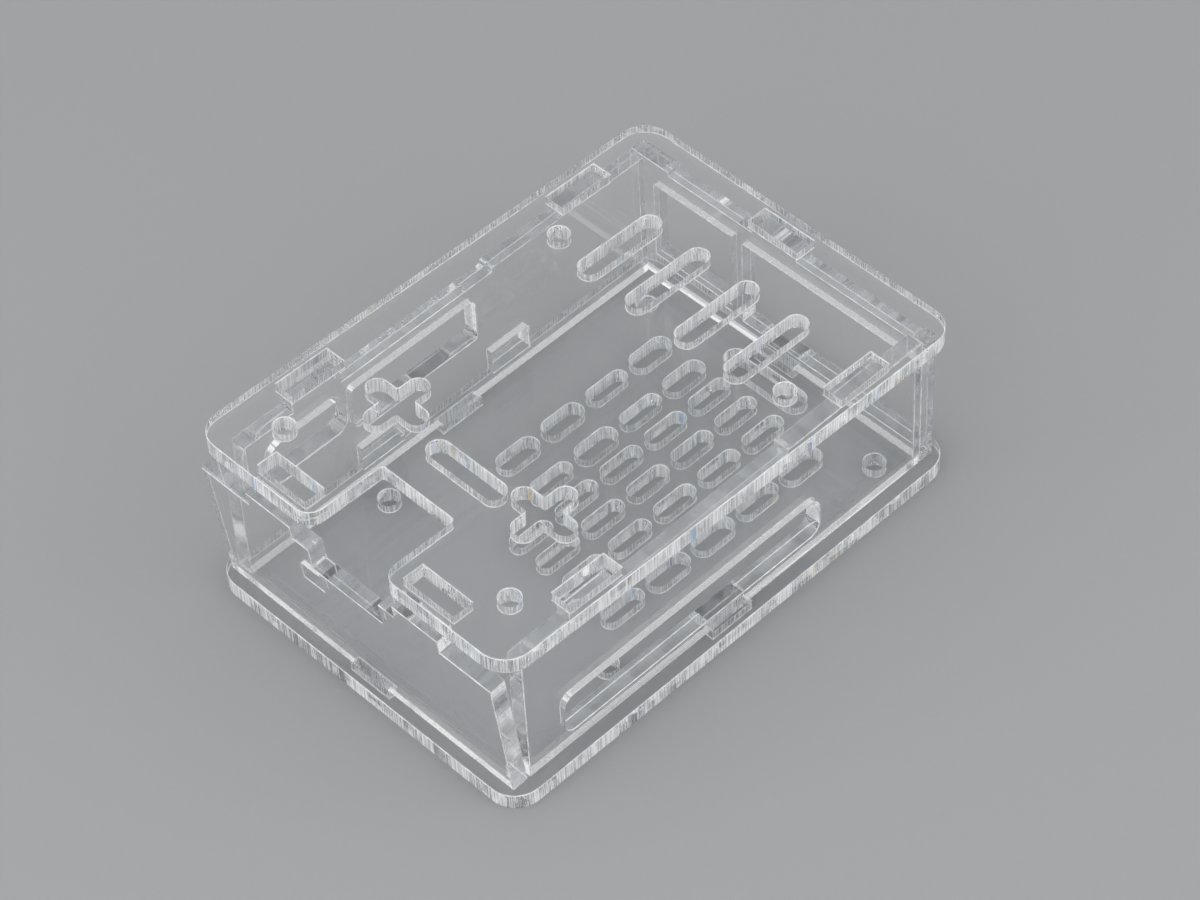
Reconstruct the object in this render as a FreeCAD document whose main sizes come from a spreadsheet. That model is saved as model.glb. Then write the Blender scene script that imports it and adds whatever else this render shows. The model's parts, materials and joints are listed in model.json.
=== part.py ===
import FreeCAD, Part
import Sketcher
import math
import os

# Clear sheet case for a single board computer. Every piece is cut from one flat sheet: a base
# plate, a lid plate and four walls that stand on the base by tabs in slots.
# The origin is the middle of the base plate's underside. X runs from the card end to the port
# end, Y from the header side to the socket side, and Z up. Lengths are in millimetres.
# The card end panel leans outwards on its foot, and the lid rests on its tabs and on the top
# edge of the port end panel, so the lid slopes down to the port end.

SIZES = {
    # The sheet and the two plates
    "case_length": 97.0,
    "case_width": 68.0,
    "sheet_thickness": 3.0,
    "plate_corner_radius": 5.0,
    "wall_height": 26.0,
    # Tabs and the slots that take them
    "edge_margin": 2.0,
    "slot_clearance": 0.4,
    "tab_setback": 0.2,
    "upper_tab_length": 9.8,
    "lower_tab_length": 7.8,
    "wall_end_gap": 0.2,
    "fore_tab_inset": 20.4,
    "aft_tab_inset": 19.0,
    "card_tab_spacing": 32.0,
    # The leaning panel and the lid that rests on it
    "panel_lean": 6.0,
    "seat_gap": 0.05,
    "lid_slip": 0.2,
    # Screw holes
    "screw_hole_diameter": 3.6,
    "screw_spacing_long": 58.0,
    "screw_spacing_wide": 49.0,
    "screw_inset": 10.2,
    # Cut-outs of the lid
    "notch_width": 15.6,
    "notch_depth": 15.0,
    "notch_mouth_radius": 3.0,
    "notch_root_radius": 0.6,
    "ribbon_inset": 23.2,
    "ribbon_bridge": 0.2,
    "ribbon_length": 15.8,
    "ribbon_width": 3.9,
    "cross_inset": 25.5,
    "cross_spacing": 32.0,
    "cross_span": 12.4,
    "cross_arm_width": 3.6,
    "cross_crook_radius": 0.5,
    "lid_vent_inset": 23.85,
    "lid_vent_length": 17.1,
    "lid_vent_width": 3.75,
    "lid_vent_pitch": 10.6,
    # Cut-outs of the base
    "vent_inset": 18.5,
    "vent_column_pitch": 10.0,
    "vent_length": 8.2,
    "vent_width": 3.0,
    "wide_vent_width": 3.7,
    "vent_first_row": 16.3,
    "vent_second_row": 9.8,
    "vent_row_pitch": 5.95,
    "vent_fifth_row": 7.75,
    "vent_sixth_row": 15.4,
    "display_slot_inset": 9.9,
    "display_slot_shift": 2.1,
    "display_slot_length": 17.0,
    "display_slot_width": 4.0,
    # Windows of the header side wall
    "header_fore_margin": 7.8,
    "header_aft_margin": 22.8,
    "header_sill": 2.9,
    "header_window_height": 7.8,
    "header_window_radius": 2.0,
    "header_recess_stop": 11.6,
    # Windows of the socket side wall
    "socket_fore_margin": 4.4,
    "socket_first_length": 15.8,
    "socket_first_height": 7.2,
    "socket_first_radius": 2.5,
    "socket_bar": 1.3,
    "socket_second_length": 26.4,
    "socket_second_height": 8.5,
    "socket_second_radius": 0.8,
    "socket_head": 4.3,
    "hatch_sill": 2.9,
    "hatch_height": 4.7,
    "hatch_first_margin": 22.2,
    "hatch_first_length": 8.7,
    "hatch_second_margin": 50.5,
    "hatch_second_length": 8.2,
    "socket_recess_stop": 15.6,
    "recess_depth": 0.8,
    # Windows of the port end panel
    "port_near_margin": 3.6,
    "port_far_margin": 4.9,
    "port_divider_shift": 8.2,
    "port_divider_width": 2.4,
    "port_wide_sill": 3.2,
    "port_narrow_sill": 5.2,
    "port_head": 5.1,
    "port_recess_near": 2.1,
    "port_recess_far": 8.3,
    # Cut-outs of the card end panel
    "card_cut_width": 15.2,
    "card_cut_depth": 4.7,
    "card_hole_web": 1.2,
    "card_hole_shift": 8.45,
    "card_hole_width": 4.5,
    "card_hole_height": 3.5,
}


class Measure:
    """A number together with the sheet expression that yields it."""

    def __init__(self, text, value):
        self.text = text
        self.value = value

    def joined(self, sign, other, result):
        right = other.text if isinstance(other, Measure) else repr(float(other))
        return Measure(f"({self.text} {sign} {right})", result)

    def __add__(self, other):
        return self.joined("+", other, self.value + number(other))

    def __sub__(self, other):
        return self.joined("-", other, self.value - number(other))

    def __mul__(self, other):
        return self.joined("*", other, self.value * number(other))

    def __truediv__(self, other):
        return self.joined("/", other, self.value / number(other))

    def __neg__(self):
        return Measure(f"(0 - {self.text})", -self.value)


def number(item):
    return item.value if isinstance(item, Measure) else float(item)


def sine(angle):
    return Measure(f"sin({angle.text})", math.sin(math.radians(angle.value)))


def cosine(angle):
    return Measure(f"cos({angle.text})", math.cos(math.radians(angle.value)))


def arc_tangent(slope):
    return Measure(f"atan({slope.text})", math.degrees(math.atan(slope.value)))


doc = FreeCAD.newDocument("BoardCase")
sheet = doc.addObject("Spreadsheet::Sheet", "Sizes")
for row, (alias, size) in enumerate(SIZES.items(), start=1):
    sheet.set(f"A{row}", alias.replace("_", " "))
    sheet.set(f"B{row}", str(size))
    sheet.setAlias(f"B{row}", alias)
doc.recompute()


def named(alias):
    return Measure(f"Sizes.{alias}", SIZES[alias])


ZERO = Measure("0", 0.0)
THICK = named("sheet_thickness")
HALF_LENGTH = named("case_length") / 2
HALF_WIDTH = named("case_width") / 2
HEIGHT = named("wall_height")
SLOT_WIDTH = THICK + named("slot_clearance") * 2
UPPER_SLOT = named("upper_tab_length") + named("slot_clearance") * 2
LOWER_SLOT = named("lower_tab_length") + named("slot_clearance") * 2
SLOT_INSET = named("edge_margin") + SLOT_WIDTH / 2
WALL_INSET = named("edge_margin") + named("slot_clearance")
TAB_REACH = THICK - named("tab_setback")
FORE_TAB = named("fore_tab_inset") - HALF_LENGTH
AFT_TAB = HALF_LENGTH - named("aft_tab_inset")
SIDE_HALF = HALF_LENGTH - WALL_INSET - THICK - named("wall_end_gap")
END_HALF = HALF_WIDTH - WALL_INSET


class Drawing:
    """A sketch on one of a body's own planes, whose shapes are bound to the sheet."""

    def __init__(self, body, plane, name):
        self.sketch = body.newObject("Sketcher::SketchObject", f"{body.Label}_{name}")
        self.sketch.AttachmentSupport = [(origin_plane(body, plane), "")]
        self.sketch.MapMode = "FlatFace"
        self.bound = []
        self.fixed = []

    def bind(self, kind, element, point, measure):
        """Keep a constraint whose value follows a measure of the sheet."""
        if kind == "Radius":
            self.bound.append((Sketcher.Constraint(kind, element, measure.value), measure.text))
            return
        constraint = Sketcher.Constraint(kind, -1, 1, element, point, measure.value)
        self.bound.append((constraint, measure.text))

    def circle(self, x, y, diameter):
        centre = FreeCAD.Vector(x.value, y.value, 0)
        shape = Part.Circle(centre, FreeCAD.Vector(0, 0, 1), diameter.value / 2)
        element = self.sketch.addGeometry(shape, False)
        self.bind("DistanceX", element, 3, x)
        self.bind("DistanceY", element, 3, y)
        self.bind("Radius", element, 0, diameter / 2)

    def loop(self, nodes):
        """Close a loop of straight lines over corners (x, y) and bends (x, y, radius, turn).

        A bend is an arc about (x, y) whose turn is 1 to the left and -1 to the right, and the
        lines beside it run off it at a tangent.
        """
        headings = [heading(a, b) for a, b in zip(nodes, nodes[1:] + nodes[:1])]
        joints = []
        for index, node in enumerate(nodes):
            joints.append(self.bend(node, headings[index - 1], headings[index]))
        lines = []
        for here, there in zip(joints, joints[1:] + joints[:1]):
            lines.append(self.sketch.addGeometry(Part.LineSegment(here["leave"], there["enter"]), False))
        for index, joint in enumerate(joints):
            self.join(joint, nodes[index], lines[index - 1], lines[index])

    def bend(self, node, before, after):
        """Add the arc of a bend, and tell where the lines meet the node."""
        centre = FreeCAD.Vector(node[0].value, node[1].value, 0)
        if len(node) == 2:
            return {"arc": None, "enter": centre, "leave": centre}
        radius, turn = node[2].value, node[3]
        enter = centre + FreeCAD.Vector(math.sin(before), -math.cos(before), 0) * (turn * radius)
        leave = centre + FreeCAD.Vector(math.sin(after), -math.cos(after), 0) * (turn * radius)
        first, last = (enter, leave) if turn > 0 else (leave, enter)
        start = math.atan2(first.y - centre.y, first.x - centre.x)
        end = math.atan2(last.y - centre.y, last.x - centre.x)
        full = Part.Circle(centre, FreeCAD.Vector(0, 0, 1), radius)
        if end <= start:
            end += 2 * math.pi
        arc = self.sketch.addGeometry(Part.ArcOfCircle(full, start, end), False)
        self.bind("DistanceX", arc, 3, node[0])
        self.bind("DistanceY", arc, 3, node[1])
        self.bind("Radius", arc, 0, node[2])
        return {"arc": arc, "enter": enter, "leave": leave}

    def join(self, joint, node, line_in, line_out):
        """Tie the two lines beside a node to its arc or to each other."""
        if joint["arc"] is None:
            self.fixed.append(Sketcher.Constraint("Coincident", line_in, 2, line_out, 1))
            self.bind("DistanceX", line_out, 1, node[0])
            self.bind("DistanceY", line_out, 1, node[1])
            return
        enter_point, leave_point = (1, 2) if node[3] > 0 else (2, 1)
        self.fixed.append(Sketcher.Constraint("Tangent", line_in, 2, joint["arc"], enter_point))
        self.fixed.append(Sketcher.Constraint("Tangent", line_out, 1, joint["arc"], leave_point))

    def box(self, left, right, bottom, top, radius=None):
        if radius is None:
            self.loop([(left, bottom), (right, bottom), (right, top), (left, top)])
            return
        low, high = bottom + radius, top - radius
        self.loop([(left + radius, low, radius, 1), (right - radius, low, radius, 1),
                   (right - radius, high, radius, 1), (left + radius, high, radius, 1)])

    def slot(self, x, y, length, width, upright=False):
        """A slot with round ends about its middle (x, y)."""
        radius = width / 2
        reach = length / 2 - radius
        if upright:
            self.loop([(x, y - reach, radius, 1), (x, y + reach, radius, 1)])
            return
        self.loop([(x + reach, y, radius, 1), (x - reach, y, radius, 1)])

    def finish(self):
        """Give the sketch its constraints, and bind each one that has a measure."""
        self.sketch.addConstraint(self.fixed)
        start = self.sketch.ConstraintCount
        self.sketch.addConstraint([constraint for constraint, text in self.bound])
        for index, (constraint, text) in enumerate(self.bound):
            self.sketch.setExpression(f"Constraints[{start + index}]", text)
        return self.sketch


def heading(here, there):
    """Direction of the straight line from one corner or bend to the next."""
    run = FreeCAD.Vector(there[0].value - here[0].value, there[1].value - here[1].value, 0)
    leave = here[2].value * here[3] if len(here) > 2 else 0.0
    enter = there[2].value * there[3] if len(there) > 2 else 0.0
    return math.atan2(run.y, run.x) - math.asin((enter - leave) / run.Length)


def origin_plane(body, role):
    return next(item for item in body.Origin.OriginFeatures if item.Role == role)


class SheetPiece:
    """One piece of the case: an outline cut from the sheet, with its cut-outs."""

    def __init__(self, label, plane, inwards):
        self.body = doc.addObject("PartDesign::Body", label)
        self.body.Label = label
        self.plane = plane
        self.inwards = inwards

    def outline(self, *loops):
        drawing = Drawing(self.body, self.plane, "outline")
        for nodes in loops:
            drawing.loop(nodes)
        pad = self.body.newObject("PartDesign::Pad", f"{self.body.Label}_sheet")
        pad.Profile = drawing.finish()
        pad.setExpression("Length", THICK.text)
        pad.Reversed = not self.inwards
        doc.recompute()

    def cut(self, name, draw):
        """Cut what draw puts in a drawing right through the sheet."""
        whole = self.body.Shape.Volume
        drawing = Drawing(self.body, self.plane, name)
        draw(drawing)
        pocket = self.body.newObject("PartDesign::Pocket", f"{self.body.Label}_{name}_cut")
        pocket.Profile = drawing.finish()
        pocket.Type = "ThroughAll"
        pocket.Reversed = self.inwards
        doc.recompute()
        if self.body.Shape.Volume > whole - 1.0:
            raise ValueError(f"{pocket.Name} removes nothing")

    def place(self, x, y, z):
        for axis, measure in (("x", x), ("y", y), ("z", z)):
            self.body.setExpression(f"Placement.Base.{axis}", measure.text)

    def turn(self, axis, angle):
        rotation = FreeCAD.Rotation(FreeCAD.Vector(*axis), angle.value)
        self.body.Placement = FreeCAD.Placement(FreeCAD.Vector(), rotation)
        self.body.setExpression("Placement.Rotation.Angle", angle.text)


def plate_corners(radius):
    """The four bends of a plate's outline, from the card end's header corner, to the left."""
    along, across = HALF_LENGTH - radius, HALF_WIDTH - radius
    return [(-along, -across, radius, 1), (along, -across, radius, 1),
            (along, across, radius, 1), (-along, across, radius, 1)]


def screw_holes(drawing, first):
    """The board's four screw holes, the first pair at x and the second one spacing on."""
    for x in (first, first + named("screw_spacing_long")):
        for side in (-1, 1):
            drawing.circle(x, named("screw_spacing_wide") * (side / 2), named("screw_hole_diameter"))


def tab_slot(drawing, x, y, length, along_x):
    """A slot for one tab about its middle (x, y)."""
    reach_x, reach_y = (length / 2, SLOT_WIDTH / 2) if along_x else (SLOT_WIDTH / 2, length / 2)
    drawing.box(x - reach_x, x + reach_x, y - reach_y, y + reach_y)


def base_plate():
    piece = SheetPiece("base_plate", "XY_Plane", True)
    piece.outline(plate_corners(named("plate_corner_radius")))

    def tab_slots(drawing):
        for side in (-1, 1):
            tab_slot(drawing, ZERO, (HALF_WIDTH - SLOT_INSET) * side, LOWER_SLOT, True)
            tab_slot(drawing, (HALF_LENGTH - SLOT_INSET) * side, ZERO, LOWER_SLOT, False)

    def vent_row(y, widths):
        last = HALF_LENGTH - named("vent_inset")

        def draw(drawing):
            for column, width in enumerate(widths):
                if width is not None:
                    x = last - named("vent_column_pitch") * (len(widths) - 1 - column)
                    drawing.slot(x, y, named("vent_length"), width)

        return draw

    def display_slot(drawing):
        drawing.slot(HALF_LENGTH - named("display_slot_inset"), -named("display_slot_shift"),
                     named("display_slot_length"), named("display_slot_width"), upright=True)

    def screws(drawing):
        screw_holes(drawing, HALF_LENGTH - named("screw_inset") - named("screw_spacing_long"))

    piece.cut("tab_slots", tab_slots)
    thin, wide = named("vent_width"), named("wide_vent_width")
    third_row = named("vent_row_pitch") - named("vent_second_row")
    rows = [
        (-named("vent_first_row"), (thin, wide, wide, thin, wide)),
        (-named("vent_second_row"), (thin, thin, thin, thin, thin)),
        (third_row, (thin, thin, thin, thin, thin)),
        (third_row + named("vent_row_pitch"), (thin, thin, thin, thin, thin)),
        (named("vent_fifth_row"), (None, thin, wide, thin, wide)),
        (named("vent_sixth_row"), (None, wide, wide, thin, wide)),
    ]
    for count, (y, widths) in enumerate(rows, start=1):
        piece.cut(f"vent_row_{count}", vent_row(y, widths))
    piece.cut("display_slot", display_slot)
    piece.cut("screw_holes", screws)
    return piece.body


def lid_plate():
    piece = SheetPiece("lid_plate", "XY_Plane", True)
    corners = plate_corners(named("plate_corner_radius"))
    half_notch = named("notch_width") / 2
    mouth, root = named("notch_mouth_radius"), named("notch_root_radius")
    notch_end = named("notch_depth") - HALF_LENGTH
    notch = [(mouth - HALF_LENGTH, half_notch + mouth, mouth, 1),
             (notch_end - root, half_notch - root, root, -1),
             (notch_end - root, root - half_notch, root, -1),
             (mouth - HALF_LENGTH, -half_notch - mouth, mouth, 1)]
    piece.outline(corners + notch)

    def tab_slots(drawing):
        across = HALF_WIDTH - SLOT_INSET
        for side in (-1, 1):
            for x in (FORE_TAB, AFT_TAB):
                tab_slot(drawing, x, across * side, UPPER_SLOT, True)
            y = named("card_tab_spacing") * (side / 2)
            tab_slot(drawing, SLOT_INSET - HALF_LENGTH, y, UPPER_SLOT, False)
        tab_slot(drawing, HALF_LENGTH - SLOT_INSET, ZERO, UPPER_SLOT, False)

    def crosses(drawing):
        x = named("cross_inset") - HALF_LENGTH
        for side in (-1, 1):
            cross(drawing, x, named("cross_spacing") * (side / 2))

    def ribbon_slot(drawing):
        """The slot starts a bridge past the near cross's reach."""
        length = named("ribbon_length")
        cross_reach = (named("cross_spacing") - named("cross_span")) / 2
        drawing.slot(named("ribbon_inset") - HALF_LENGTH, length / 2 + named("ribbon_bridge") - cross_reach,
                     length, named("ribbon_width"), upright=True)

    def vents(drawing):
        x = HALF_LENGTH - named("lid_vent_inset")
        for step in (-1.5, -0.5, 0.5, 1.5):
            drawing.slot(x, named("lid_vent_pitch") * step,
                         named("lid_vent_length"), named("lid_vent_width"))

    piece.cut("tab_slots", tab_slots)
    piece.cut("crosses", crosses)
    piece.cut("ribbon_slot", ribbon_slot)
    piece.cut("vents", vents)
    piece.cut("screw_holes", lambda drawing: screw_holes(drawing, named("screw_inset") - HALF_LENGTH))
    rest_lid(piece)
    return piece.body


def cross(drawing, x, y):
    """A plus of four arms with round ends and a small crook between neighbours."""
    arm, crook = named("cross_arm_width") / 2, named("cross_crook_radius")
    tip = named("cross_span") / 2 - arm
    bay = arm + crook
    nodes = []
    for along, across in ((1, 0), (0, 1), (-1, 0), (0, -1)):
        nodes.append((x + tip * along, y + tip * across, arm, 1))
        nodes.append((x + bay * (along - across), y + bay * (across + along), crook, -1))
    drawing.loop(nodes)


def rest_lid(piece):
    """Lay the lid on the port end panel's outer top edge and the leaning tabs' inner corners."""
    lean = named("panel_lean")
    stand = HEIGHT + TAB_REACH
    foot_x = named("edge_margin") + named("seat_gap") - HALF_LENGTH
    corner_x = foot_x + THICK * cosine(lean) - stand * sine(lean)
    corner_rise = THICK * sine(lean) + stand * cosine(lean) - HEIGHT
    edge_x = HALF_LENGTH - WALL_INSET
    tilt = arc_tangent(corner_rise / (edge_x - corner_x))
    reach = edge_x - named("lid_slip")
    piece.turn((0, 1, 0), tilt)
    rise = THICK + HEIGHT + named("seat_gap") + reach * sine(tilt)
    piece.place(edge_x - reach * cosine(tilt), ZERO, rise)


def tab_below(middle, length):
    """The corners of a tab under a wall's lower edge, from low to high along the wall."""
    start, end = middle - length / 2, middle + length / 2
    return [(start, ZERO), (start, -TAB_REACH), (end, -TAB_REACH), (end, ZERO)]


def tab_above(middle, length, before=HEIGHT, after=HEIGHT):
    """The corners of a tab over a wall's upper edge, from high to low along the wall."""
    start, end = middle + length / 2, middle - length / 2
    top = HEIGHT + TAB_REACH
    return [(start, before), (start, top), (end, top), (end, after)]


def side_wall_outline(recess_stop):
    """A long wall with one tab below, two above and a shallow recess between those two."""
    length = named("upper_tab_length")
    dip = HEIGHT - named("recess_depth")
    recess_end = AFT_TAB - length / 2 - recess_stop
    return ([(-SIDE_HALF, ZERO)] + tab_below(ZERO, named("lower_tab_length"))
            + [(SIDE_HALF, ZERO), (SIDE_HALF, HEIGHT)] + tab_above(AFT_TAB, length)
            + [(recess_end, HEIGHT), (recess_end, dip)] + tab_above(FORE_TAB, length, before=dip)
            + [(-SIDE_HALF, HEIGHT)])


def header_side_wall():
    piece = SheetPiece("header_side_wall", "XZ_Plane", False)
    piece.outline(side_wall_outline(named("header_recess_stop")))

    def window(drawing):
        sill = named("header_sill")
        drawing.box(named("header_fore_margin") - SIDE_HALF, SIDE_HALF - named("header_aft_margin"),
                    sill, sill + named("header_window_height"), named("header_window_radius"))

    piece.cut("header_window", window)
    piece.place(ZERO, WALL_INSET - HALF_WIDTH, THICK)
    return piece.body


def socket_side_wall():
    piece = SheetPiece("socket_side_wall", "XZ_Plane", True)
    piece.outline(side_wall_outline(named("socket_recess_stop")))
    head = HEIGHT - named("socket_head")
    first = named("socket_fore_margin") - SIDE_HALF
    first_end = first + named("socket_first_length")
    second = first_end + named("socket_bar")

    def upper_windows(drawing):
        drawing.box(first, first_end, head - named("socket_first_height"), head, named("socket_first_radius"))
        drawing.box(second, second + named("socket_second_length"), head - named("socket_second_height"),
                    head, named("socket_second_radius"))

    def hatches(drawing):
        sill = named("hatch_sill")
        for name in ("hatch_first", "hatch_second"):
            start = named(f"{name}_margin") - SIDE_HALF
            drawing.box(start, start + named(f"{name}_length"), sill, sill + named("hatch_height"))

    piece.cut("upper_windows", upper_windows)
    piece.cut("hatches", hatches)
    piece.place(ZERO, HALF_WIDTH - WALL_INSET, THICK)
    return piece.body


def port_end_panel():
    piece = SheetPiece("port_end_panel", "YZ_Plane", True)
    length = named("upper_tab_length")
    dip = HEIGHT - named("recess_depth")
    near, far = named("port_recess_near") - END_HALF, END_HALF - named("port_recess_far")
    piece.outline([(-END_HALF, ZERO)] + tab_below(ZERO, named("lower_tab_length"))
                  + [(END_HALF, ZERO), (END_HALF, HEIGHT), (far, HEIGHT), (far, dip)]
                  + tab_above(ZERO, length, before=dip, after=dip)
                  + [(near, dip), (near, HEIGHT), (-END_HALF, HEIGHT)])

    def windows(drawing):
        head = HEIGHT - named("port_head")
        divider, half = named("port_divider_shift"), named("port_divider_width") / 2
        drawing.box(named("port_near_margin") - END_HALF, divider - half, named("port_wide_sill"), head)
        drawing.box(divider + half, END_HALF - named("port_far_margin"), named("port_narrow_sill"), head)

    piece.cut("port_windows", windows)
    piece.place(HALF_LENGTH - WALL_INSET - THICK, ZERO, THICK)
    return piece.body


def card_end_panel():
    piece = SheetPiece("card_end_panel", "YZ_Plane", True)
    length = named("upper_tab_length")
    half_cut = named("card_cut_width") / 2
    root = HEIGHT - named("card_cut_depth")
    half_spacing = named("card_tab_spacing") / 2
    piece.outline([(-END_HALF, ZERO)] + tab_below(ZERO, named("lower_tab_length"))
                  + [(END_HALF, ZERO), (END_HALF, HEIGHT)] + tab_above(half_spacing, length)
                  + [(half_cut, HEIGHT), (half_cut, root), (-half_cut, root), (-half_cut, HEIGHT)]
                  + tab_above(-half_spacing, length) + [(-END_HALF, HEIGHT)])

    def card_hole(drawing):
        middle, half = named("card_hole_shift"), named("card_hole_width") / 2
        top = root - named("card_hole_web")
        drawing.box(middle - half, middle + half, top - named("card_hole_height"), top)

    piece.cut("card_hole", card_hole)
    piece.turn((0, -1, 0), named("panel_lean"))
    piece.place(named("edge_margin") + named("seat_gap") - HALF_LENGTH, ZERO, THICK)
    return piece.body


bodies = [base_plate(), header_side_wall(), socket_side_wall(),
          port_end_panel(), card_end_panel(), lid_plate()]
doc.recompute()

for item in doc.Objects:
    if "Invalid" in item.State or "Error" in item.State:
        raise ValueError(f"{item.Name} is not valid")
for body in bodies:
    if body.Shape.isNull() or not body.Shape.isValid() or len(body.Shape.Solids) != 1:
        raise ValueError(f"{body.Label} is not one valid solid")

os.makedirs("parts", exist_ok=True)
for body in bodies:
    body.Shape.exportStep(os.path.join("parts", f"{body.Label}.step"))
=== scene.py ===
"""Looks of a clear laser-cut sheet case for a single board computer.

Every piece of the case is one flat sheet of clear acrylic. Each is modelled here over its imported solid:
the broad faces stay clear, the rims are eased, and the laser's cut faces get their fine striations.
Lengths are in metres and angles in degrees.
"""

import json
import logging
import math
from dataclasses import dataclass, field
from enum import Enum

import bpy
from mathutils import Matrix, Vector

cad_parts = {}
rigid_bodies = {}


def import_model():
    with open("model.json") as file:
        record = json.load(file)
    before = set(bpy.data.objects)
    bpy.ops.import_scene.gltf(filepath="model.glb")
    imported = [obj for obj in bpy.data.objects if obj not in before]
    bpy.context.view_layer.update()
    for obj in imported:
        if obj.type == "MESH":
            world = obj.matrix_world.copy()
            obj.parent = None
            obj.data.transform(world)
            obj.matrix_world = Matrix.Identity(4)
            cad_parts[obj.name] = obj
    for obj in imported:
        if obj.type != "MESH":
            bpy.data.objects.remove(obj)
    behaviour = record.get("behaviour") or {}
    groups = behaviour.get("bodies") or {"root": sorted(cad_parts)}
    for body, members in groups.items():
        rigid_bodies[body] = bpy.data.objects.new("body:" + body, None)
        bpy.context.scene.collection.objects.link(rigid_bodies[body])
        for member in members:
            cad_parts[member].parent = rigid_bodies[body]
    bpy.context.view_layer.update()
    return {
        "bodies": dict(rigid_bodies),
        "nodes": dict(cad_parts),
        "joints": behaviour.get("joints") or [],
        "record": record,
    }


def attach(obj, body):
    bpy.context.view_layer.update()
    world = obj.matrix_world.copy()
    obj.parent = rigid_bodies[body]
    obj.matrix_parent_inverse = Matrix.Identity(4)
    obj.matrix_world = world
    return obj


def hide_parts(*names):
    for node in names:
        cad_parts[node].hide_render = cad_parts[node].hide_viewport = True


log = logging.getLogger("board_case")
Colour = tuple[float, float, float, float]
Place = tuple[float, float, float]
Shares = tuple[float, float, float]
Band = tuple[float, float]
Stops = tuple[tuple[float, Colour], ...]

MM = 0.001
WHITE: Colour = (1.0, 1.0, 1.0, 1.0)
NOISE_BAND: Band = (0.3, 0.7)

# The Mix node lists its sockets for numbers and vectors before those for colours.
MIX_COLOURS = (6, 7)
MIX_RESULT = 2


class SheetAxis(Enum):
    """The direction through a sheet's thickness."""

    LENGTH = 0
    WIDTH = 1
    HEIGHT = 2


class FinishSlot(Enum):
    """The material slots of a sheet."""

    FACE = 0
    CUT = 1
    RIM = 2


@dataclass(frozen=True)
class Grain:
    """A noise on a sheet, by its features to the metre along the sheet and through its thickness."""

    along: float
    through: float
    detail: float = 1.0
    roughness: float = 0.5


@dataclass(frozen=True)
class CutLook:
    """How the laser left the cut faces of one kind of sheet.

    frost is how milky the pale streaks are, the groove shade how much light the painted shade of the dark
    streaks keeps, patchiness how much the broader patches differ in clearness and in painted shade, relief
    how deep it all is, and glint how coloured the painted glints are where the light breaks.
    """

    frost: float
    groove_shade: float
    patchiness: float
    relief: float
    glint: float


# Each look also sets the painted shade in the grooves and patches and the tint of the painted glints.
PLATE_CUT = CutLook(frost=0.5, groove_shade=0.74, patchiness=0.5, relief=0.5, glint=1.0)
WALL_CUT = CutLook(frost=0.04, groove_shade=0.86, patchiness=0.1, relief=0.2, glint=0.2)


@dataclass(frozen=True)
class NodeTree:
    """A short way to add and link the nodes of one material or world."""

    tree: bpy.types.NodeTree

    def add(self, kind: str, **settings: object) -> bpy.types.Node:
        """Add a node.

        Args:
            kind: The node's type name.
            settings: Its properties and, where the name is a socket's, that socket's value.

        Returns:
            The new node.
        """
        node = self.tree.nodes.new(kind)
        for name, value in settings.items():
            if hasattr(node, name):
                setattr(node, name, value)
            else:
                node.inputs[name.replace("_", " ")].default_value = value
        return node

    def link(self, output: bpy.types.NodeSocket, target: bpy.types.NodeSocket) -> None:
        """Link an output to an input."""
        self.tree.links.new(output, target)

    def ramp(self, source: bpy.types.NodeSocket, stops: Stops) -> bpy.types.NodeSocket:
        """Colour a value by stops.

        Args:
            source: The value.
            stops: Pairs of position and colour, from low to high.

        Returns:
            The ramp's colour.
        """
        node = self.add("ShaderNodeValToRGB")
        elements = node.color_ramp.elements
        while len(elements) < len(stops):
            elements.new(0.5)
        for element, (place, colour) in zip(elements, stops):
            element.position = place
            element.color = colour
        self.link(source, node.inputs["Fac"])
        return node.outputs["Color"]

    def product(self, first: bpy.types.NodeSocket, second: bpy.types.NodeSocket) -> bpy.types.NodeSocket:
        """Multiply two colours.

        Args:
            first: The one colour.
            second: The other.

        Returns:
            Their product.
        """
        node = self.add("ShaderNodeMix", data_type="RGBA", blend_type="MULTIPLY")
        node.inputs["Factor"].default_value = 1.0
        for colour, socket in zip((first, second), MIX_COLOURS):
            self.link(colour, node.inputs[socket])
        return node.outputs[MIX_RESULT]

    def fade(self, source: bpy.types.NodeSocket, band: Band, first: Colour,
             last: Colour) -> bpy.types.NodeSocket:
        """Fade from one colour to another.

        Args:
            source: The value that the fade follows.
            band: Where in that value it starts and ends.
            first: The colour below the band.
            last: The colour above it.

        Returns:
            The faded colour.
        """
        start, end = band
        return self.ramp(source, ((start, first), (end, last)))

    def span(self, source: bpy.types.NodeSocket, low: float, high: float,
             band: Band = NOISE_BAND) -> bpy.types.NodeSocket:
        """Map a band of a noise to low and high.

        Args:
            source: The noise.
            low: The result at the band's start and below it.
            high: The result at the band's end and above it.
            band: Where in the noise the band starts and ends.

        Returns:
            The mapped value.
        """
        start, end = band
        node = self.add("ShaderNodeMapRange", From_Min=start, From_Max=end, To_Min=low, To_Max=high)
        self.link(source, node.inputs["Value"])
        return node.outputs["Result"]


def new_material(name: str) -> tuple[bpy.types.Material, NodeTree]:
    """Make an empty node material.

    Args:
        name: Its name.

    Returns:
        The material and its node tree.
    """
    material = bpy.data.materials.new(name)
    material.use_nodes = True
    material.node_tree.nodes.clear()
    return material, NodeTree(material.node_tree)


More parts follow.
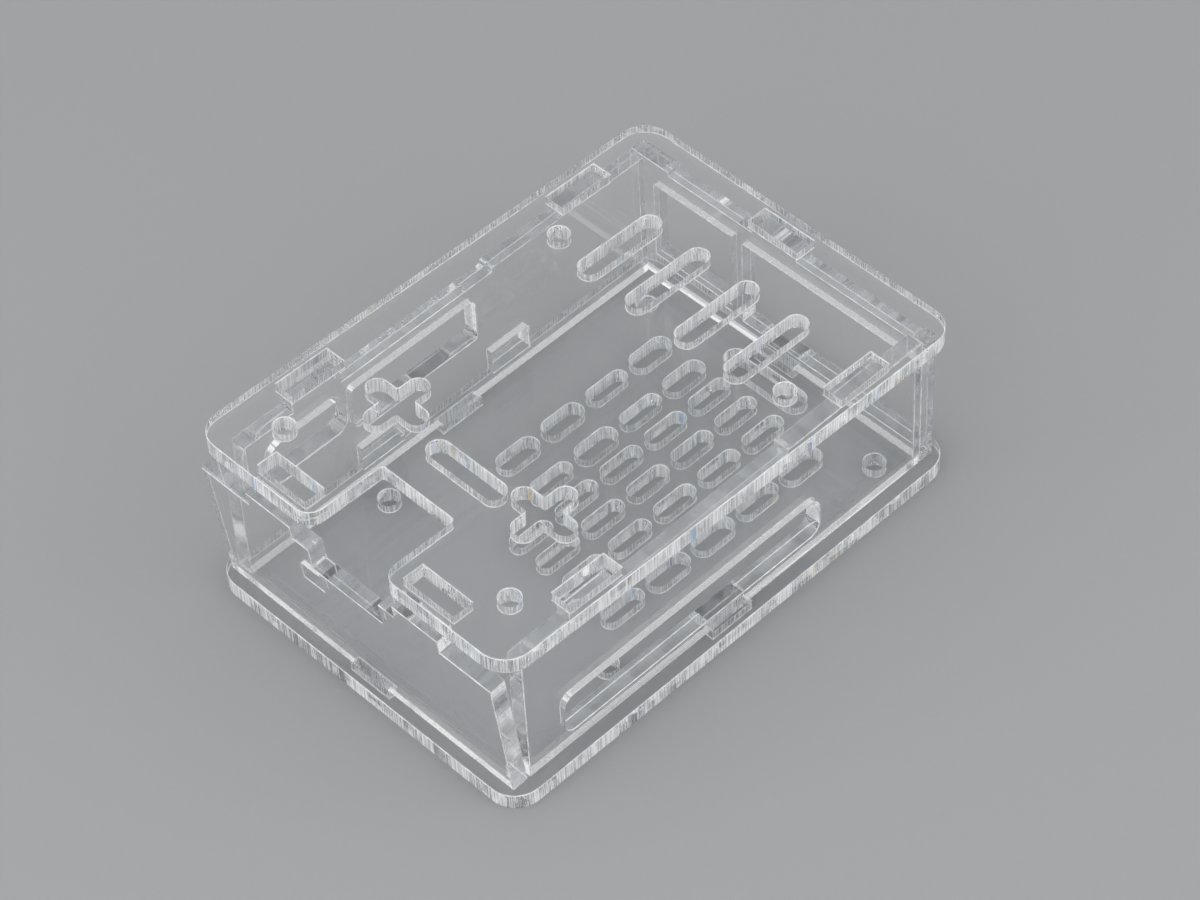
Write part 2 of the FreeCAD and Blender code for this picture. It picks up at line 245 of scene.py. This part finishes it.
@dataclass(frozen=True)
class SheetFinish:
    """What the finishes of one clear sheet have in common.

    lean is how many degrees the sheet is turned about the case's width, index its refractive index, and
    passed what one face lets through of a lamp's light.
    """

    name: str
    through: SheetAxis
    lean: float
    index: float = 1.49
    passed: Colour = (0.6, 0.607, 0.615, 1.0)

    def coordinates(self, nodes: NodeTree) -> bpy.types.NodeSocket:
        """Turn Object coordinates back so that the sheet's thickness lies along its axis.

        Args:
            nodes: The tree.

        Returns:
            The turned coordinates.
        """
        place = nodes.add("ShaderNodeTexCoord")
        turn = nodes.add("ShaderNodeMapping", Rotation=(0.0, -math.radians(self.lean), 0.0))
        nodes.link(place.outputs["Object"], turn.inputs["Vector"])
        return turn.outputs["Vector"]

    def noise(self, nodes: NodeTree, grain: Grain) -> bpy.types.NodeSocket:
        """Lay a noise on the sheet.

        Args:
            nodes: The tree.
            grain: The noise's rates, detail and roughness.

        Returns:
            The noise's value.
        """
        rates = [grain.along, grain.along, grain.along]
        rates[self.through.value] = grain.through
        scale = nodes.add("ShaderNodeMapping", Scale=tuple(rates))
        noise = nodes.add("ShaderNodeTexNoise", Scale=1.0, Detail=grain.detail, Roughness=grain.roughness)
        nodes.link(self.coordinates(nodes), scale.inputs["Vector"])
        nodes.link(scale.outputs["Vector"], noise.inputs["Vector"])
        return noise.outputs["Fac"]

    def let_light_through(self, nodes: NodeTree, shader: bpy.types.NodeSocket) -> None:
        """Finish a material so that lamps shine through the sheet on what lies behind it.

        Args:
            nodes: The tree.
            shader: The surface that is seen.
        """
        rays = nodes.add("ShaderNodeLightPath")
        either = nodes.add("ShaderNodeMath", operation="MAXIMUM")
        clear = nodes.add("ShaderNodeBsdfTransparent", Color=self.passed)
        mix = nodes.add("ShaderNodeMixShader")
        output = nodes.add("ShaderNodeOutputMaterial")
        nodes.link(rays.outputs["Is Shadow Ray"], either.inputs[0])
        nodes.link(rays.outputs["Is Diffuse Ray"], either.inputs[1])
        nodes.link(either.outputs["Value"], mix.inputs["Fac"])
        nodes.link(shader, mix.inputs[1])
        nodes.link(clear.outputs["BSDF"], mix.inputs[2])
        nodes.link(mix.outputs["Shader"], output.inputs["Surface"])


@dataclass(frozen=True)
class ClearFace(SheetFinish):
    """The polished broad faces: clear, with the faint waves and wipe marks of cast sheet."""

    passed: Colour = (0.945, 0.949, 0.952, 1.0)
    colour: Colour = (0.992, 0.996, 0.998, 1.0)
    wipes: Grain = Grain(60.0, 60.0, detail=4.0, roughness=0.6)
    wipe_roughness: float = 0.02
    waves: Grain = Grain(90.0, 90.0)
    wave_height: float = 0.02 * MM
    wave_strength: float = 0.05

    def material(self) -> bpy.types.Material:
        """Build the material.

        Returns:
            The clear face's material.
        """
        material, nodes = new_material(f"{self.name}_face")
        wipes = self.noise(nodes, self.wipes)
        waves = self.noise(nodes, self.waves)
        bump = nodes.add("ShaderNodeBump", Strength=self.wave_strength, Distance=self.wave_height)
        nodes.link(waves, bump.inputs["Height"])
        skin = nodes.add("ShaderNodeBsdfPrincipled", Base_Color=self.colour, Transmission_Weight=1.0,
                         IOR=self.index)
        nodes.link(nodes.span(wipes, 0.0, self.wipe_roughness), skin.inputs["Roughness"])
        nodes.link(bump.outputs["Normal"], skin.inputs["Normal"])
        self.let_light_through(nodes, skin.outputs["BSDF"])
        return material


@dataclass(frozen=True)
class CutFace(SheetFinish):
    """The laser's cut faces: clear, with fine striations through the thickness and broader waves.

    The colour carries painted light: painted glints, and painted shade in the grooves and in broader dim
    patches. A loss is what a full glint takes from red, green and blue, and cast is the blue cast of the
    greys of that painted shade.
    """

    look: CutLook = WALL_CUT
    plain_colour: Colour = (0.98, 0.988, 0.993, 1.0)
    cast: Shares = (1.0, 1.02, 1.04)
    roughest: float = 0.08
    striations: Grain = Grain(3700.0, 100.0)
    striation_height: float = 0.05 * MM
    groove_shade_band: Band = (0.56, 0.63)
    streak_band: Band = (0.38, 0.52)
    waves: Grain = Grain(900.0, 90.0)
    wave_height: float = 0.09 * MM
    glints: Grain = Grain(520.0, 60.0)
    warm_band: Band = (0.22, 0.27)
    warm_loss: Shares = (0.0, 0.24, 0.6)
    cold_band: Band = (0.69, 0.75)
    cold_loss: Shares = (0.5, 0.3, 0.0)
    patches: Grain = Grain(260.0, 130.0, detail=2.0)
    patch_band: Band = (0.44, 0.52)
    shadows: Grain = Grain(410.0, 100.0)
    shadow_band: Band = (0.29, 0.37)
    shadow_depth: float = 0.5

    def material(self) -> bpy.types.Material:
        """Build the material.

        Returns:
            The cut face's material.
        """
        material, nodes = new_material(f"{self.name}_cut")
        fine = self.noise(nodes, self.striations)
        skin = nodes.add("ShaderNodeBsdfPrincipled", IOR=self.index)
        nodes.link(self.colour(nodes, fine), skin.inputs["Base Color"])
        nodes.link(self.clearness(nodes, fine), skin.inputs["Transmission Weight"])
        nodes.link(nodes.span(fine, 0.0, self.roughest), skin.inputs["Roughness"])
        nodes.link(self.relief(nodes, fine), skin.inputs["Normal"])
        self.let_light_through(nodes, skin.outputs["BSDF"])
        return material

    def colour(self, nodes: NodeTree, fine: bpy.types.NodeSocket) -> bpy.types.NodeSocket:
        """Colour the face: rare warm and cold painted glints, painted shade in grooves and in broader
        patches.

        Args:
            nodes: The tree.
            fine: The noise of the striations.

        Returns:
            The face's colour.
        """
        # Painted glints: rare warm and cold tints in the colour stand in for light broken into colours.
        warm_full, warm_end = self.warm_band
        cold_start, cold_full = self.cold_band
        glints = nodes.ramp(self.noise(nodes, self.glints), (
            (warm_full, self.glint(self.warm_loss)),
            (warm_end, self.plain_colour),
            (cold_start, self.plain_colour),
            (cold_full, self.glint(self.cold_loss)),
        ))
        # Painted shade: the striation grooves darken to a blue grey.
        painted_groove_shade = nodes.fade(fine, self.groove_shade_band, WHITE, self.grey(self.look.groove_shade))
        # Painted shade: broader patches darken to a blue grey.
        dim = self.grey(1.0 - self.shadow_depth * self.look.patchiness)
        shadows = nodes.fade(self.noise(nodes, self.shadows), self.shadow_band, dim, WHITE)
        return nodes.product(nodes.product(glints, painted_groove_shade), shadows)

    def clearness(self, nodes: NodeTree, fine: bpy.types.NodeSocket) -> bpy.types.NodeSocket:
        """Say how clear the face is, less so in its patches and in its pale streaks.

        Args:
            nodes: The tree.
            fine: The noise of the striations.

        Returns:
            The share of the light that goes through.
        """
        broad = self.noise(nodes, self.patches)
        patches = nodes.span(broad, 1.0 - self.look.patchiness, 1.0, self.patch_band)
        streaks = nodes.span(fine, 1.0 - self.look.frost, 1.0, self.streak_band)
        both = nodes.add("ShaderNodeMath", operation="MULTIPLY")
        nodes.link(patches, both.inputs[0])
        nodes.link(streaks, both.inputs[1])
        return both.outputs["Value"]

    def relief(self, nodes: NodeTree, fine: bpy.types.NodeSocket) -> bpy.types.NodeSocket:
        """Raise the waves and, on them, the striations.

        Args:
            nodes: The tree.
            fine: The noise of the striations.

        Returns:
            The bumped normal.
        """
        waves = self.noise(nodes, self.waves)
        wave_bump = nodes.add("ShaderNodeBump", Strength=1.0, Distance=self.wave_height * self.look.relief)
        fine_bump = nodes.add("ShaderNodeBump", Strength=1.0,
                              Distance=self.striation_height * self.look.relief)
        nodes.link(waves, wave_bump.inputs["Height"])
        nodes.link(fine, fine_bump.inputs["Height"])
        nodes.link(wave_bump.outputs["Normal"], fine_bump.inputs["Normal"])
        return fine_bump.outputs["Normal"]

    def glint(self, loss: Shares) -> Colour:
        """The colour of a glint that takes these shares of red, green and blue when it is full."""
        red, green, blue = (1.0 - share * self.look.glint for share in loss)
        return red, green, blue, 1.0

    def grey(self, share: float) -> Colour:
        """A slightly blue grey that lets this share of the light through."""
        red, green, blue = (min(share * cast, 1.0) for cast in self.cast)
        return red, green, blue, 1.0


@dataclass(frozen=True)
class RimFace(SheetFinish):
    """The eased rims: a hair's width of melted edge that catches the light."""

    colour: Colour = (0.98, 0.987, 0.993, 1.0)
    glow: Grain = Grain(700.0, 200.0, detail=2.0)
    clearness: Band = (0.1, 0.6)
    roughness: Band = (0.25, 0.1)

    def material(self) -> bpy.types.Material:
        """Build the material.

        Returns:
            The rim's material.
        """
        material, nodes = new_material(f"{self.name}_rim")
        glow = self.noise(nodes, self.glow)
        skin = nodes.add("ShaderNodeBsdfPrincipled", Base_Color=self.colour, IOR=self.index)
        nodes.link(nodes.span(glow, *self.clearness), skin.inputs["Transmission Weight"])
        nodes.link(nodes.span(glow, *self.roughness), skin.inputs["Roughness"])
        self.let_light_through(nodes, skin.outputs["BSDF"])
        return material


@dataclass
class AcrylicSheet:
    """One flat piece of the case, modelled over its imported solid.

    A facing is the cosine of the angle between a face's normal and the way through the sheet. A face
    above broad_facing is a broad one, and one above rim_facing, so a rim too, is shaded flat.
    """

    node: str
    through: SheetAxis
    cut: CutLook
    lift: float
    rim_ease: float = 0.12 * MM
    merge_gap: float = 0.002 * MM
    flat_angle: float = 0.3
    smooth_angle: float = 35.0
    rim_facing: float = 0.3
    broad_facing: float = 0.7
    direction: Vector = field(init=False)
    lean: float = field(init=False)
    piece: bpy.types.Object = field(init=False)

    def build(self, frame: dict) -> None:
        """Model the sheet and put it in its node's place.

        Args:
            frame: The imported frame.
        """
        self.copy_solid(frame["nodes"][self.node])
        self.measure_lean()
        self.dress()
        self.ease_rims()
        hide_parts(self.node)
        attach(self.piece, "root")
        log.info("%s: %d faces, leaning %.2f degrees", self.piece.name, len(self.piece.data.polygons),
                 self.lean)

    def copy_solid(self, solid: bpy.types.Object) -> None:
        """Start from a merged copy of the node's mesh, lifted by the film of air under it.

        Args:
            solid: The node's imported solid, which stays as it is.
        """
        mesh = solid.data.copy()
        mesh.transform(solid.matrix_world)
        self.piece = bpy.data.objects.new(f"{self.node}_sheet", mesh)
        bpy.context.scene.collection.objects.link(self.piece)
        self.edit()
        bpy.ops.mesh.select_all(action="SELECT")
        bpy.ops.mesh.remove_doubles(threshold=self.merge_gap)
        bpy.ops.mesh.customdata_custom_splitnormals_clear()
        bpy.ops.mesh.dissolve_limited(angle_limit=math.radians(self.flat_angle))
        bpy.ops.transform.translate(value=(0.0, 0.0, self.lift))
        bpy.ops.object.mode_set(mode="OBJECT")

    def edit(self) -> None:
        """Make the piece alone selected and active, and enter edit mode."""
        bpy.ops.object.select_all(action="DESELECT")
        self.piece.select_set(True)
        bpy.context.view_layer.objects.active = self.piece
        bpy.ops.object.mode_set(mode="EDIT")

    def measure_lean(self) -> None:
        """Find which way the sheet's thickness points, and its lean about the case's width."""
        axis = Vector((0.0, 0.0, 0.0))
        axis[self.through.value] = 1.0
        broad = max(self.piece.data.polygons, key=lambda polygon: polygon.area)
        self.direction = broad.normal * math.copysign(1.0, broad.normal.dot(axis))
        self.lean = math.degrees(math.asin(axis.cross(self.direction).y))

    def dress(self) -> None:
        """Give the broad faces one finish, the cut faces another, and keep a third for the rims."""
        mesh = self.piece.data
        mesh.materials.clear()
        finishes = (
            ClearFace(self.node, self.through, self.lean),
            CutFace(self.node, self.through, self.lean, look=self.cut),
            RimFace(self.node, self.through, self.lean),
        )
        for finish in finishes:
            mesh.materials.append(finish.material())
        for polygon in mesh.polygons:
            is_broad = abs(polygon.normal.dot(self.direction)) > self.broad_facing
            polygon.material_index = (FinishSlot.FACE if is_broad else FinishSlot.CUT).value

    def ease_rims(self) -> None:
        """Bevel the rims where the cut faces meet the broad faces, and smooth the rounds."""
        mesh = self.piece.data
        sides = {}
        for polygon in mesh.polygons:
            for key in polygon.edge_keys:
                sides.setdefault(key, set()).add(polygon.material_index)
        self.edit()
        bpy.ops.mesh.select_mode(type="EDGE")
        bpy.ops.mesh.select_all(action="DESELECT")
        bpy.ops.object.mode_set(mode="OBJECT")
        for edge in mesh.edges:
            edge.select = len(sides[edge.key]) == 2
        self.edit()
        bpy.ops.mesh.bevel(offset=self.rim_ease, segments=1, affect="EDGES",
                           material=FinishSlot.RIM.value)
        bpy.ops.object.mode_set(mode="OBJECT")
        bpy.ops.object.shade_smooth_by_angle(angle=math.radians(self.smooth_angle))
        for polygon in mesh.polygons:
            if abs(polygon.normal.dot(self.direction)) > self.rim_facing:
                polygon.use_smooth = False


@dataclass
class BoardCase:
    """The six sheets of the case, with a film of air between the base and what stands on it."""

    air_film: float = 0.02 * MM

    def sheets(self) -> list[AcrylicSheet]:
        """List the sheets.

        Returns:
            The case's sheets, from the base up.
        """
        return [
            AcrylicSheet("base_plate", SheetAxis.HEIGHT, PLATE_CUT, lift=0.0),
            AcrylicSheet("header_side_wall", SheetAxis.WIDTH, WALL_CUT, lift=self.air_film),
            AcrylicSheet("socket_side_wall", SheetAxis.WIDTH, WALL_CUT, lift=self.air_film),
            AcrylicSheet("port_end_panel", SheetAxis.LENGTH, WALL_CUT, lift=self.air_film),
            AcrylicSheet("card_end_panel", SheetAxis.LENGTH, WALL_CUT, lift=self.air_film),
            AcrylicSheet("lid_plate", SheetAxis.HEIGHT, PLATE_CUT, lift=self.air_film),
        ]

    def build(self, frame: dict) -> None:
        """Model every sheet."""
        for sheet in self.sheets():
            sheet.build(frame)


@dataclass(frozen=True)
class Softbox:
    """A square lamp that faces the case. Gloss and glass see the tent instead of it."""

    name: str
    place: Place
    size: float
    power: float

    def hang(self) -> None:
        """Create the lamp in its place."""
        data = bpy.data.lights.new(self.name, "AREA")
        data.size = self.size
        data.energy = self.power
        lamp = bpy.data.objects.new(self.name, data)
        lamp.location = self.place
        lamp.rotation_euler = (-Vector(self.place)).to_track_quat("-Z", "Y").to_euler()
        lamp.visible_glossy = False
        lamp.visible_transmission = False
        bpy.context.scene.collection.objects.link(lamp)


@dataclass
class Studio:
    """A pale floor, a soft sky and large soft lamps."""

    floor_size: float = 6.0
    floor_drop: float = 0.1 * MM
    floor_colour: Colour = (0.4, 0.404, 0.412, 1.0)
    floor_grain: float = 900.0
    grain_shade: float = 0.985
    sky_colour: Colour = (0.38, 0.384, 0.392, 1.0)
    tent_stops: Stops = (
        (0.0, (0.42, 0.424, 0.432, 1.0)),
        (0.3, (0.84, 0.844, 0.852, 1.0)),
        (0.5, WHITE),
        (0.85, WHITE),
        (1.0, (0.6, 0.605, 0.615, 1.0)),
    )
    gap_stops: Stops = ((0.33, (0.42, 0.422, 0.43, 1.0)), (0.4, WHITE))
    gap_rates: Place = (7.0, 7.0, 1.5)
    quiet_corner: Place = (0.448, 0.493, 0.746)
    quiet_stops: Stops = ((0.965, WHITE), (0.99, (0.55, 0.554, 0.56, 1.0)))
    softboxes: tuple[Softbox, ...] = (
        Softbox("left_softbox", (-0.95, 0.1, 0.45), 1.25, 8.2),
        Softbox("right_softbox", (0.35, -0.95, 0.45), 1.25, 7.6),
        Softbox("top_softbox", (-0.1, 0.1, 1.1), 1.2, 2.3),
    )

    def build(self) -> None:
        """Set up the floor, the sky and the lamps."""
        bpy.context.scene.view_settings.view_transform = "Standard"
        self.light_paths()
        self.floor()
        self.sky()
        for softbox in self.softboxes:
            softbox.hang()

    def light_paths(self) -> None:
        """Let light run as far inside the sheets as it does in real acrylic."""
        cycles = bpy.context.scene.cycles
        cycles.max_bounces = 24
        cycles.glossy_bounces = 20
        cycles.transmission_bounces = 24
        cycles.transparent_max_bounces = 12

    def floor(self) -> None:
        """Lay the floor just under the case."""
        bpy.ops.object.select_all(action="DESELECT")
        bpy.ops.mesh.primitive_plane_add(size=self.floor_size, location=(0.0, 0.0, -self.floor_drop))
        plane = bpy.context.active_object
        plane.name = "studio_floor"
        material, nodes = new_material("pale_floor")
        place = nodes.add("ShaderNodeTexCoord")
        grain = nodes.add("ShaderNodeTexNoise", Scale=self.floor_grain, Detail=3.0)
        skin = nodes.add("ShaderNodeBsdfPrincipled", Roughness=0.9)
        output = nodes.add("ShaderNodeOutputMaterial")
        red, green, blue, alpha = self.floor_colour
        shade = self.grain_shade
        dim = (red * shade, green * shade, blue * shade, alpha)
        nodes.link(place.outputs["Object"], grain.inputs["Vector"])
        colour = nodes.fade(grain.outputs["Fac"], NOISE_BAND, dim, self.floor_colour)
        nodes.link(colour, skin.inputs["Base Color"])
        nodes.link(skin.outputs["BSDF"], output.inputs["Surface"])
        plane.data.materials.append(material)

    def sky(self) -> None:
        """Hang a plain soft sky, which gloss and glass see as the white panels of a studio tent."""
        world = bpy.data.worlds.new("soft_sky")
        world.use_nodes = True
        world.node_tree.nodes.clear()
        nodes = NodeTree(world.node_tree)
        tent = nodes.add("ShaderNodeBackground", Strength=1.0)
        plain = nodes.add("ShaderNodeBackground", Strength=1.0, Color=self.sky_colour)
        mix = nodes.add("ShaderNodeMixShader")
        output = nodes.add("ShaderNodeOutputWorld")
        nodes.link(self.tent(nodes), tent.inputs["Color"])
        nodes.link(self.seen(nodes), mix.inputs["Fac"])
        nodes.link(plain.outputs["Background"], mix.inputs[1])
        nodes.link(tent.outputs["Background"], mix.inputs[2])
        nodes.link(mix.outputs["Shader"], output.inputs["Surface"])
        bpy.context.scene.world = world

    def seen(self, nodes: NodeTree) -> bpy.types.NodeSocket:
        """Tell the rays that look at the tent from those that only gather light.

        Args:
            nodes: The world's tree.

        Returns:
            One for camera, gloss and glass rays, and zero for the others.
        """
        rays = nodes.add("ShaderNodeLightPath")
        gloss = nodes.add("ShaderNodeMath", operation="MAXIMUM")
        either = nodes.add("ShaderNodeMath", operation="MAXIMUM")
        nodes.link(rays.outputs["Is Glossy Ray"], gloss.inputs[0])
        nodes.link(rays.outputs["Is Transmission Ray"], gloss.inputs[1])
        nodes.link(gloss.outputs["Value"], either.inputs[0])
        nodes.link(rays.outputs["Is Camera Ray"], either.inputs[1])
        return either.outputs["Value"]

    def tent(self, nodes: NodeTree) -> bpy.types.NodeSocket:
        """Colour the tent: white panels, dimmer low down, at the top, in the gaps and in one corner.

        Args:
            nodes: The world's tree.

        Returns:
            The tent's colour.
        """
        place = nodes.add("ShaderNodeTexCoord")
        split = nodes.add("ShaderNodeSeparateXYZ")
        spread = nodes.add("ShaderNodeMapping", Scale=self.gap_rates)
        strips = nodes.add("ShaderNodeTexNoise", Scale=1.0, Detail=0.0)
        corner = nodes.add("ShaderNodeVectorMath", operation="DOT_PRODUCT")
        corner.inputs[1].default_value = self.quiet_corner
        for node in (split, spread, corner):
            nodes.link(place.outputs["Generated"], node.inputs[0])
        nodes.link(spread.outputs["Vector"], strips.inputs["Vector"])
        panels = nodes.product(nodes.ramp(split.outputs["Z"], self.tent_stops),
                               nodes.ramp(strips.outputs["Fac"], self.gap_stops))
        return nodes.product(panels, nodes.ramp(corner.outputs["Value"], self.quiet_stops))


@dataclass
class Viewpoint:
    """The photograph's camera: a long lens that looks down on the card end and the header side."""

    aim: Place = (0.003035, -0.000750, 0.015)
    azimuth: float = -42.307
    elevation: float = 48.239
    roll: float = -3.405
    distance: float = 0.646789
    lens: float = 124.641
    sensor: float = 36.0

    def build(self) -> None:
        """Create the camera and set it."""
        azimuth, elevation, roll = (math.radians(a) for a in (self.azimuth, self.elevation, self.roll))
        back = Vector((math.sin(azimuth) * math.cos(elevation), -math.cos(azimuth) * math.cos(elevation),
                       math.sin(elevation)))
        level = (-back).cross(Vector((0.0, 0.0, 1.0))).normalized()
        upright = back.cross(level)
        right = level * math.cos(roll) + upright * math.sin(roll)
        up = upright * math.cos(roll) - level * math.sin(roll)
        data = bpy.data.cameras.new("photo_camera")
        data.sensor_width = self.sensor
        data.lens = self.lens
        data.clip_start = 0.01
        camera = bpy.data.objects.new("photo_camera", data)
        turned = Matrix((right, up, back)).transposed().to_4x4()
        camera.matrix_world = Matrix.Translation(Vector(self.aim) + back * self.distance) @ turned
        bpy.context.scene.collection.objects.link(camera)
        bpy.context.scene.camera = camera


def main() -> None:
    """Load the frame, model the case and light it."""
    logging.basicConfig(level=logging.INFO, format="%(name)s %(message)s")
    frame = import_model()
    Studio().build()
    Viewpoint().build()
    BoardCase().build(frame)


if __name__ == "__main__":
    main()
